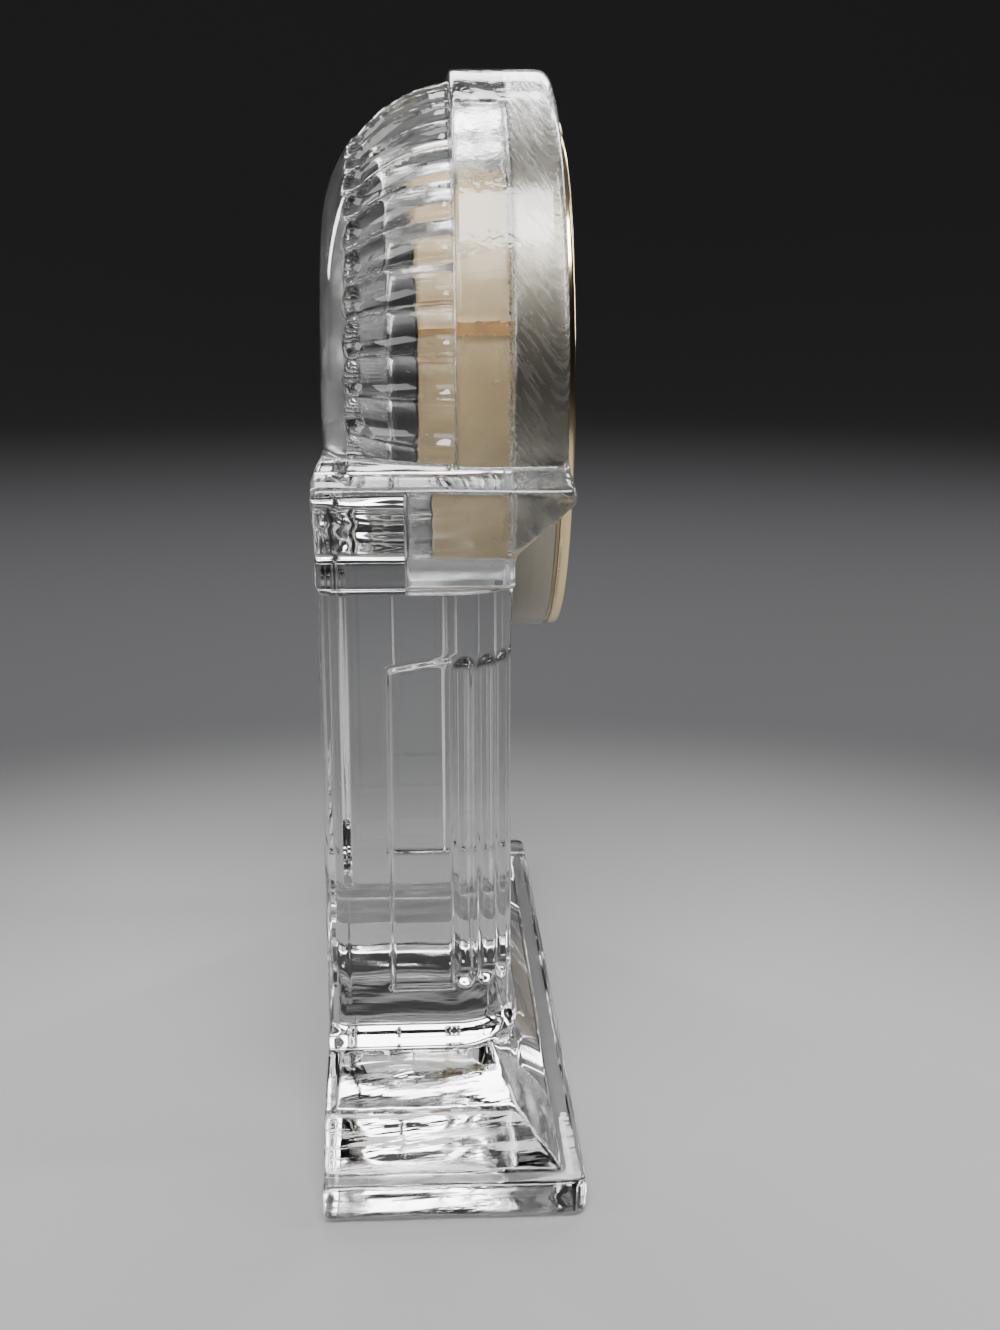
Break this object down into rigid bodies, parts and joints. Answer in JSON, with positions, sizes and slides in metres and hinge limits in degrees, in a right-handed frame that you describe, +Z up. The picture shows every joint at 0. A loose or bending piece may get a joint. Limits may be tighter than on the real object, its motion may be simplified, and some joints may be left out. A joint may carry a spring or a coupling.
{
  "type": "shelf clock",
  "caption": "Clear crystal beehive shelf clock: fluted domed head and hood, cornice, fluted columns and stepped base round a pull-out quartz insert with a gold-tone bezel.",
  "frame": {"origin": "on the floor, under the middle of the base's box", "axes": "+X to the right seen from the front, -Y to the front, +Z up"},
  "size_m": [0.122, 0.033, 0.1408],
  "materials": {
    "crystal": "clear pressed lead crystal, fire polished",
    "lens_glass": "clear shallow domed mineral glass",
    "brass": "satin gold-tone drum with a polished lip",
    "ring_gilt": "satin gilt rehaut",
    "dial_white": "matt cream paint with printed plain numerals",
    "cup_plastic": "moulded black plastic",
    "grip_tan": "matt tan grip band",
    "cell_steel": "nickel-plated steel",
    "spring_metal": "nickel-plated spring strip",
    "plate_metal": "blanked plate",
    "screw_steel": "turned steel",
    "board_green": "resin board",
    "stator_iron": "blanked soft iron",
    "coil_copper": "enamelled copper winding",
    "wheel_plastic": "moulded acetal",
    "wheel_brass": "cut brass",
    "hand_black": "black lacquer",
    "hand_gilt": "gilt lacquer"
  },
  "bodies": {
    "case": {"crystal_case": "crystal"},
    "insert": {"bezel": "brass", "lens": "lens_glass", "dial_ring": "ring_gilt", "dial": "dial_white", "movement_cup": "cup_plastic", "grip_band": "grip_tan", "button_cell": "cell_steel", "negative_contact": "spring_metal", "positive_contact": "spring_metal", "main_plate": "plate_metal", "train_bridge": "plate_metal", "bridge_screws": "screw_steel", "circuit_board": "board_green", "quartz_can": "cell_steel", "stator": "stator_iron", "coil_core": "stator_iron", "coil": "coil_copper"},
    "cell_cover": {"cell_cover": "cup_plastic"},
    "minute_work": {"cannon_pinion": "wheel_brass", "minute_hand": "hand_black"},
    "minute_wheel": {"minute_wheel": "wheel_plastic"},
    "hour_work": {"hour_wheel": "wheel_brass", "hour_hand": "hand_black"},
    "setting_work": {"setting_arbor": "wheel_plastic", "setting_knob": "cup_plastic"},
    "seconds_work": {"fourth_wheel": "wheel_plastic", "second_hand": "hand_gilt"},
    "third_wheel": {"third_wheel": "wheel_plastic"},
    "centre_wheel": {"centre_wheel": "wheel_brass"},
    "intermediate_wheel": {"intermediate_wheel": "wheel_plastic"},
    "rotor": {"rotor": "screw_steel"}
  },
  "joints": [
    {"name": "insert_pull", "type": "slide", "parent": "case", "child": "insert", "axis": [0, -1, 0], "range_m": [0, 0.03]},
    {"name": "cell_cover_turn", "type": "hinge", "parent": "insert", "child": "cell_cover", "pos_m": [-0.0125, 0.0016, 0.0928], "axis": [0, 1, 0], "range_deg": [0, 60]},
    {"name": "minute_hand_turn", "type": "hinge", "parent": "insert", "child": "minute_work", "pos_m": [0, -0.01, 0.0988], "axis": [0, 1, 0], "continuous": true},
    {"name": "minute_wheel_turn", "type": "hinge", "parent": "insert", "child": "minute_wheel", "pos_m": [0, -0.009, 0.0928], "axis": [0, 1, 0], "continuous": true},
    {"name": "hour_hand_turn", "type": "hinge", "parent": "insert", "child": "hour_work", "pos_m": [0, -0.01, 0.0988], "axis": [0, 1, 0], "continuous": true},
    {"name": "setting_knob_turn", "type": "hinge", "parent": "insert", "child": "setting_work", "pos_m": [0, -0.002, 0.0868], "axis": [0, 1, 0], "continuous": true},
    {"name": "second_hand_turn", "type": "hinge", "parent": "insert", "child": "seconds_work", "pos_m": [0, -0.008, 0.0988], "axis": [0, 1, 0], "continuous": true},
    {"name": "third_wheel_turn", "type": "hinge", "parent": "insert", "child": "third_wheel", "pos_m": [-0.00689, -0.005, 0.10459], "axis": [0, 1, 0], "continuous": true},
    {"name": "centre_wheel_turn", "type": "hinge", "parent": "insert", "child": "centre_wheel", "pos_m": [0, -0.008, 0.0988], "axis": [0, 1, 0], "continuous": true},
    {"name": "intermediate_wheel_turn", "type": "hinge", "parent": "insert", "child": "intermediate_wheel", "pos_m": [0.00737, -0.005, 0.10396], "axis": [0, 1, 0], "continuous": true},
    {"name": "rotor_turn", "type": "hinge", "parent": "insert", "child": "rotor", "pos_m": [0.01017, -0.005, 0.10881], "axis": [0, 1, 0], "continuous": true}
  ],
  "couplings": [
    {"joint": "minute_wheel_turn", "follows": "minute_hand_turn", "ratio": -0.33333},
    {"joint": "hour_hand_turn", "follows": "minute_hand_turn", "ratio": 0.083333},
    {"joint": "setting_knob_turn", "follows": "minute_hand_turn", "ratio": 1},
    {"joint": "third_wheel_turn", "follows": "second_hand_turn", "ratio": -0.13333},
    {"joint": "centre_wheel_turn", "follows": "second_hand_turn", "ratio": 0.016667},
    {"joint": "intermediate_wheel_turn", "follows": "second_hand_turn", "ratio": -5},
    {"joint": "rotor_turn", "follows": "second_hand_turn", "ratio": 30}
  ]
}
